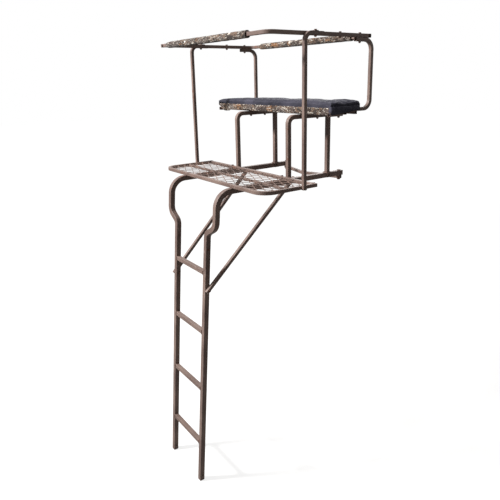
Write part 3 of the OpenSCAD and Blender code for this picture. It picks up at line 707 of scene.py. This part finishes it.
# the skirt of the seat cover: a padded printed strip in front, which turns the corners, and a plain flap
# along each side; along is counted from the middle of the front, round the corners and back
skirt = {
    "half": armHigh.x + 0.0050,
    "front": seatLow.y + 0.0005,
    "radius": 0.009,
    "top": panTop + 0.0082,
    "bottom": seatLow.z + 0.004,
    "stripThick": 0.0042,
    "flapThick": 0.0035,
    "stripEnd": 0.524,
    "flapFrom": 0.522,
    "flapTop": panTop + 0.0145,    # laps over the rounded lower edge of the cushion's end
    "flapTo": 0.755,
    "edgeShare": 0.35,         # share of the thickness that is rounded off at an edge
    "sway": 0.005,             # waves of the lower edge
    "swayLength": 0.19,
    "flutter": 0.002,
    "flutterLength": 0.05,
    "leftDroop": 0.013,
    "droopIn": (0.38, 0.46),   # a span starts and ends at these distances along, towards the left
    "droopOut": (0.47, 0.54),
    "leftLift": 0.026,         # the lower edge rises again round the left corner
    "liftSpan": (0.485, 0.555),
    "rearLift": 0.014,
    "rearSpan": (0.54, 0.72),
    "leftBulge": 0.009,
    "bulgeSpan": (0.46, 0.53),
    "leftEnd": 0.016,          # how much further the strip runs round the left corner than round the right
    "leftFlap": 0.012,
    "puff": 0.0026,
    "ripple": 0.0034,
    "waveLength": 0.060,
    "crumpleLength": 0.022,
    "creaseLength": 0.011,
    "slack": 0.0003,           # the furthest that a wave may push in towards the frame
    "segment": 0.0055,
    "rows": 9,
}


# the place on the cover's outline at a distance along it, and the way that faces out there
def skirtPath(along):
    side = math.copysign(1, along)
    straight = skirt["half"] - skirt["radius"]
    past = abs(along) - straight
    if past < 0:
        return Vector((along, skirt["front"], 0)), Vector((0, -1, 0))
    turn = min(past / skirt["radius"], math.pi / 2)
    out = Vector((side * math.sin(turn), -math.cos(turn), 0))
    place = Vector((side * straight, skirt["front"] + skirt["radius"], 0)) + out * skirt["radius"]
    place.y += max(past - skirt["radius"] * math.pi / 2, 0)
    return place, out


# height of the cover's lower edge: slightly wavy, and it droops before the left corner
def skirtBottom(along):
    hang = skirt["bottom"] + skirt["sway"] * wobble((along, 0, 0), skirt["swayLength"], 8)
    hang += skirt["flutter"] * wobble((along, 0, 0), skirt["flutterLength"], 3)
    hang -= skirt["leftDroop"] * fade(-along, *skirt["droopIn"]) * (1 - fade(-along, *skirt["droopOut"]))
    hang += skirt["leftLift"] * fade(-along, *skirt["liftSpan"])
    return hang + skirt["rearLift"] * fade(abs(along), *skirt["rearSpan"])


# a strip of padded cloth, cut as a flat bar and then wrapped along the cover's outline
def skirtBand(name, start, end, thick, top):
    length, tall = end - start, top - skirt["bottom"]
    middle = ((start + end) / 2, thick / 2, tall / 2)
    bpy.ops.mesh.primitive_cube_add(size=1, location=middle, scale=(length, thick, tall))
    band = bpy.context.object
    band.name = name
    settle(band)
    useModifier(band, "BEVEL", width=thick * skirt["edgeShare"], segments=2)
    pickEdges(band, lambda a, b: abs(a.x - b.x) > length * 0.8)
    bpy.ops.mesh.subdivide(number_cuts=round(length / skirt["segment"]))
    pickEdges(band, lambda a, b: abs(a.z - b.z) > tall * 0.5)
    bpy.ops.mesh.subdivide(number_cuts=skirt["rows"])
    bpy.ops.object.mode_set(mode="OBJECT")
    for point in band.data.vertices:
        along, inward, rise = point.co.x, point.co.y, point.co.z / tall
        place, out = skirtPath(along)
        bottom = skirtBottom(along)
        wave = wobble((along, 0, point.co.z * 0.5), skirt["waveLength"], 3)
        wave += 0.55 * wobble((along, 0, point.co.z), skirt["crumpleLength"], 5)
        wave += 0.25 * wobble((along, 0, point.co.z), skirt["creaseLength"], 12)
        free = 1 - fade(rise, 0.75, 1.0)
        push = (skirt["puff"] * math.sin(rise * math.pi) + skirt["ripple"] * wave) * (0.35 + 0.65 * free)
        push = max(push, -skirt["slack"])
        push += skirt["leftBulge"] * fade(-along, *skirt["bulgeSpan"]) * (0.5 + 0.5 * rise)
        place += out * (push - inward)
        place.z = bottom + rise * (top - bottom)
        point.co = place
    useModifier(band, "SUBSURF", levels=1, render_levels=1)
    selectOnly(band)
    bpy.ops.object.mode_set(mode="EDIT")
    bpy.ops.mesh.select_all(action="SELECT")
    bpy.ops.mesh.normals_make_consistent(inside=False)
    bpy.ops.object.mode_set(mode="OBJECT")
    smoothShade(band)
    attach(band, "seat")
    return band


stripFrom = -skirt["stripEnd"] - skirt["leftEnd"]
frontStrip = skirtBand("seatFrontStrip", stripFrom, skirt["stripEnd"], skirt["stripThick"], skirt["top"])
dress(frontStrip, camoFabric)
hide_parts("seat_cushion")
flaps = (
    ("left", -skirt["flapTo"], -skirt["flapFrom"] - skirt["leftFlap"]),
    ("right", skirt["flapFrom"], skirt["flapTo"]),
)
for side, start, end in flaps:
    flap = skirtBand(side + "SeatFlap", start, end, skirt["flapThick"], skirt["flapTop"])
    dress(flap, nylon)
    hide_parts("seat_cushion")
print("seat skirt made")

# foam sleeves on the two padded bars, each in a printed cover that is gathered at its left end
sleeve = {
    "sides": 40,
    "ring": 0.0055,
    "cloth": 0.0014,
    "recess": 0.006,
    "mouth": 0.007,            # the gathered end rounds off over this length
    "mouthShare": 0.12,        # and by this share of the radius
    "cuff": 0.045,             # from the left end to the stitched line
    "stitch": 0.03,            # how far the stitches draw the cover in, as a share of its radius
    "stitchWidth": 0.004,
    "ripple": 0.0012,
    "slackLength": 0.030,
    "crumpleLength": 0.012,
    "pleats": 14,
    "pleatDepth": 0.0005,
    "foamRim": 0.0034,
    "foamHollow": 0.02,        # depth of the foam's end face that shows inside the cover
    "foamGap": 0.0006,
    "spare": 0.0008,
}


# share of the sleeve's full radius at a distance from its left end, which is tight there
def gathered(fromLeft, tight):
    mouth = sleeve["mouthShare"] * math.exp(-fromLeft / sleeve["mouth"])
    seam = math.exp(-((fromLeft - sleeve["cuff"]) / sleeve["stitchWidth"]) ** 2)
    return tight + (1 - tight) * fade(fromLeft, 0, sleeve["cuff"]) - mouth - sleeve["stitch"] * seam


# a closed round bar along X, ringed so that it can be bent
def sleeveTube(name, low, high, radius, ends):
    middle = (low + high) / 2
    start, end = ends
    place = ((start + end) / 2, middle.y, middle.z)
    bpy.ops.mesh.primitive_cylinder_add(vertices=sleeve["sides"], radius=radius, depth=end - start,
                                        location=place, rotation=(0, math.pi / 2, 0), end_fill_type="NGON")
    tube = bpy.context.object
    tube.name = name
    settle(tube)
    pickEdges(tube, lambda a, b: abs(a.x - b.x) > (end - start) / 2)
    bpy.ops.mesh.subdivide(number_cuts=round((end - start) / sleeve["ring"]))
    bpy.ops.object.mode_set(mode="OBJECT")
    return tube, middle


def atEnd(place):
    return lambda face: abs(face.center.x - place) < 1e-4 and abs(face.normal.x) > 0.9


# slack cloth round the bar, pleated where its left end is gathered
def bendSleeve(tube, low, middle, seed, tight):
    for point in tube.data.vertices:
        at = point.co
        away = Vector((0, at.y - middle.y, at.z - middle.z))
        angle = math.atan2(away.z, away.y)
        fromLeft = at.x - low.x
        slack = 0.8 * wobble((at.x * 0.7, away.y, away.z), sleeve["slackLength"], seed)
        slack += 0.5 * wobble((at.x * 2.2, away.y, away.z), sleeve["crumpleLength"], seed + 1)
        pleat = math.cos(angle * sleeve["pleats"]) * sleeve["pleatDepth"] * (1 - fade(fromLeft, 0.01, 0.06))
        away *= gathered(fromLeft, tight)
        away += away.normalized() * (slack * sleeve["ripple"] + pleat)
        at.y, at.z = middle.y + away.y, middle.z + away.z


# the printed cover: its mouths are inset and pushed in, so that the cloth shows its thickness
def sleeveCover(name, node, seed, tight):
    low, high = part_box(node)
    radius = (high.z - low.z) / 2 - sleeve["spare"]
    cover, middle = sleeveTube(name + "Cover", low, high, radius, (low.x, high.x))
    for end, way in ((low.x, 1), (high.x, -1)):
        pickFaces(cover, atEnd(end))
        bpy.ops.mesh.inset(thickness=sleeve["cloth"])
        inward = {"value": (way * sleeve["recess"], 0, 0)}
        bpy.ops.mesh.extrude_region_move(TRANSFORM_OT_translate=inward)
        bpy.ops.mesh.extrude_region_move(TRANSFORM_OT_translate=inward)
        bpy.ops.object.mode_set(mode="OBJECT")
    bendSleeve(cover, low, middle, seed, tight)
    dress(cover, camoFabric, lining)
    for face in cover.data.polygons:
        flat = Vector((0, face.center.y - middle.y, face.center.z - middle.z))
        inner = flat.length < radius * gathered(face.center.x - low.x, tight) - sleeve["cloth"] * 0.4
        face.material_index = 1 if inner else 0
    useModifier(cover, "SUBSURF", levels=1, render_levels=1)
    smoothShade(cover)
    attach(cover, "stand")
    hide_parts(node)


# the foam core, which shows as a dark ring in the mouths of its cover
def sleeveFoam(name, node, seed, tight):
    low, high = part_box(node)
    radius = (high.z - low.z) / 2 - sleeve["spare"] - sleeve["cloth"] - sleeve["foamGap"]
    start, end = low.x + sleeve["recess"], high.x - sleeve["recess"]
    core, middle = sleeveTube(name + "Foam", low, high, radius, (start, end))
    for place, way in ((start, 1), (end, -1)):
        pickFaces(core, atEnd(place))
        bpy.ops.mesh.inset(thickness=sleeve["foamRim"])
        inward = {"value": (way * sleeve["foamHollow"], 0, 0)}
        bpy.ops.mesh.extrude_region_move(TRANSFORM_OT_translate=inward)
        bpy.ops.object.mode_set(mode="OBJECT")
    bendSleeve(core, low, middle, seed, tight)
    smoothShade(core, 40)
    dress(core, foam)
    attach(core, "stand")
    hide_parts(node)


# name, node, seed of the folds, and how tight the left end is
sleeves = (("frontSleeve", "front_rail_pad", 11, 0.84), ("rearSleeve", "rear_rail_pad", 17, 0.94))
for name, node, seed, tight in sleeves:
    sleeveCover(name, node, seed, tight)
    sleeveFoam(name, node, seed, tight)
print("rail sleeves made")

# raised expanded steel: zigzag strands on edge, which meet at the knuckles
strands = {
    "long": 0.092,
    "short": 0.046,
    "wide": 0.0034,
    "thick": 0.0019,
    "tilt": 38,
    "flatTilt": 0.45,          # share of the tilt that is left at a knuckle
    "rise": 0.0009,
    "knuckle": 0.008,
    "blunt": 0.16,             # how much a zigzag's points are rounded off
    "bite": 0.30,              # share of a strand's width that it laps over the next at a knuckle
    "cuts": 7,
    "inset": 0.0004,
    "cornerRadius": 0.065,
}


# the outline that the mesh is trimmed to, round at its two front corners
def meshCutter(low, high):
    middle = (low + high) / 2
    bpy.ops.mesh.primitive_cube_add(size=1, location=middle, scale=(high - low) + Vector((0, 0, 0.02)))
    cutter = bpy.context.object
    settle(cutter)
    pickEdges(cutter, lambda a, b: abs(a.z - b.z) > 0.01 and a.y < middle.y and b.y < middle.y)
    bpy.ops.mesh.bevel(offset=strands["cornerRadius"], segments=12, affect="EDGES")
    bpy.ops.object.mode_set(mode="OBJECT")
    return cutter


# each strand is a flat bar with many cuts, bent into a zigzag and trimmed to the outline
def expandedMesh():
    low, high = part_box("platform_mesh")
    half, pitch = strands["long"] / 2, strands["short"] / 2
    low = low + Vector((strands["inset"], strands["inset"], 0))
    high = high - Vector((strands["inset"], strands["inset"], 0))
    columns = math.ceil(high.x / half) + 1
    rows = math.ceil((high.y - low.y) / pitch)
    length = 2 * columns * half
    midZ = (low.z + high.z) / 2
    cutter = meshCutter(low, high)
    made = []
    for row in range(rows):
        lift = -1 if row % 2 else 1
        scale = (length, strands["wide"], strands["thick"])
        bpy.ops.mesh.primitive_cube_add(size=1, location=(0, 0, 0), scale=scale)
        strand = bpy.context.object
        settle(strand)
        pickEdges(strand, lambda a, b: abs(a.x - b.x) > half)
        bpy.ops.mesh.subdivide(number_cuts=2 * columns * (strands["cuts"] + 1) - 1)
        bpy.ops.object.mode_set(mode="OBJECT")
        base = high.y - (row + 0.5) * pitch
        for point in strand.data.vertices:
            phase = (point.co.x / half + columns) % 2
            swing = (phase if phase < 1 else 2 - phase) * 2 - 1
            flat = min(1, (1 - abs(swing)) * half / strands["knuckle"])
            blunted = math.copysign(1 - strands["blunt"] * (1 - flat) ** 2, swing)
            reach = blunted if abs(swing) > 0.9 else swing
            slope = math.radians(strands["tilt"])
            slope *= strands["flatTilt"] + (1 - strands["flatTilt"]) * flat
            wide, tall = point.co.y, point.co.z
            point.co.y = base + lift * reach * (pitch / 2 - strands["wide"] * strands["bite"])
            point.co.y += wide * math.cos(slope) - tall * math.sin(slope)
            point.co.z = midZ + lift * swing * strands["rise"]
            point.co.z += wide * math.sin(slope) + tall * math.cos(slope)
        useModifier(strand, "BOOLEAN", operation="INTERSECT", object=cutter, solver="EXACT")
        made.append(strand)
    bpy.data.objects.remove(cutter, do_unlink=True)
    grid = joinAll(made, "expandedMeshStrands")
    smoothShade(grid, 30)
    dress(grid, powderMesh)
    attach(grid, "stand")
    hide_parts("platform_mesh")
    return grid


grid = expandedMesh()
print("platform mesh made:", len(grid.data.polygons), "faces")

# weld beads where one tube butts on another
weld = {
    "bead": 0.0021,
    "around": 72,
    "across": 8,
    "ripple": 0.00045,
    "pitch": 0.0034,
    "pitchShare": 1.25,        # the square path is this much longer than the round one, near enough
    "lump": 0.25,
    "lumpLength": 0.009,
    "cornerRadius": 0.003,
    "rungTube": 0.025,
    "legTube": 0.025,
    "frameTube": 0.020,
    "midTube": 0.014,
}


# a bead round a square tube's end: size is the tube's, spot is the middle of its end, along is its axis
def weldRing(size, spot, along, lean=0):
    reach = size / 2 + weld["bead"] * 0.25
    bpy.ops.mesh.primitive_torus_add(major_radius=reach, minor_radius=weld["bead"],
                                     major_segments=weld["around"], minor_segments=weld["across"])
    ring = bpy.context.object
    power = 2 * (2 / (1 + 4 * weld["cornerRadius"] / size)) + 4    # 2 would be round, more is squarer
    for point in ring.data.vertices:
        at = point.co
        angle = math.atan2(at.y, at.x)
        spread = math.hypot(at.x, at.y) - reach
        cosine, sine = math.cos(angle), math.sin(angle)
        square = (abs(cosine) ** power + abs(sine) ** power) ** (-1 / power)
        step = math.sin(angle * reach * weld["pitchShare"] / weld["pitch"] * 2 * math.pi)
        lump = weld["lump"] * wobble(spot + at, weld["lumpLength"], 21)
        grow = 1 + weld["ripple"] / weld["bead"] * step + lump
        out = reach * square + spread * grow
        at.x, at.y, at.z = cosine * out, sine * out, at.z * grow
    turns = {"X": Matrix.Rotation(math.pi / 2, 4, "Y"), "Y": Matrix.Rotation(math.pi / 2, 4, "X")}
    turn = Matrix.Rotation(lean, 4, "X") @ turns.get(along, Matrix())
    ring.data.transform(Matrix.Translation(spot) @ turn)
    return ring


def middleOf(node):
    low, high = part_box(node)
    return (low + high) / 2, low, high


def weldBeads():
    made = []
    rungs = [middleOf("rung_%d" % (i + 1)) for i in range(4)]
    fall = rungs[3][0] - rungs[0][0]
    lean = math.atan2(fall.y, fall.z) + math.pi
    for middle, low, high in rungs:
        for x in (low.x, high.x):
            made.append(weldRing(weld["rungTube"], Vector((x, middle.y, middle.z)), "X", -lean))
    for node, size in (("platform_rear_bar", weld["frameTube"]), ("platform_mid_bar", weld["midTube"])):
        middle, low, high = middleOf(node)
        for x in (low.x, high.x):
            made.append(weldRing(size, Vector((x, middle.y, middle.z)), "X"))
    leg = weld["legTube"]
    for side in ("left", "right"):
        middle, low, high = middleOf("seat_support_" + side)
        made.append(weldRing(leg, Vector((middle.x, low.y + leg / 2, low.z)), "Z"))
        middle, low, high = middleOf("seat_rear_leg_" + side)
        made.append(weldRing(leg, Vector((middle.x, middle.y, low.z)), "Z"))
        made.append(weldRing(leg, Vector((middle.x, middle.y, high.z)), "Z"))
    tieLow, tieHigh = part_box("seat_frame_ties")
    crossbars = [middleOf("seat_frame_%s_tube" % place) for place in ("front", "middle", "rear")]
    half = weld["frameTube"] / 2
    for x in (tieLow.x + half, tieHigh.x - half):
        for (near, _, nearHigh), (_, farLow, _) in zip(crossbars, crossbars[1:]):
            made.append(weldRing(weld["frameTube"], Vector((x, nearHigh.y, near.z)), "Y"))
            made.append(weldRing(weld["frameTube"], Vector((x, farLow.y, near.z)), "Y"))
    beads = joinAll(made, "weldBeads")
    smoothShade(beads)
    dress(beads, powderWeld)
    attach(beads, "stand")
    return len(made)


print("weld beads made:", weldBeads())
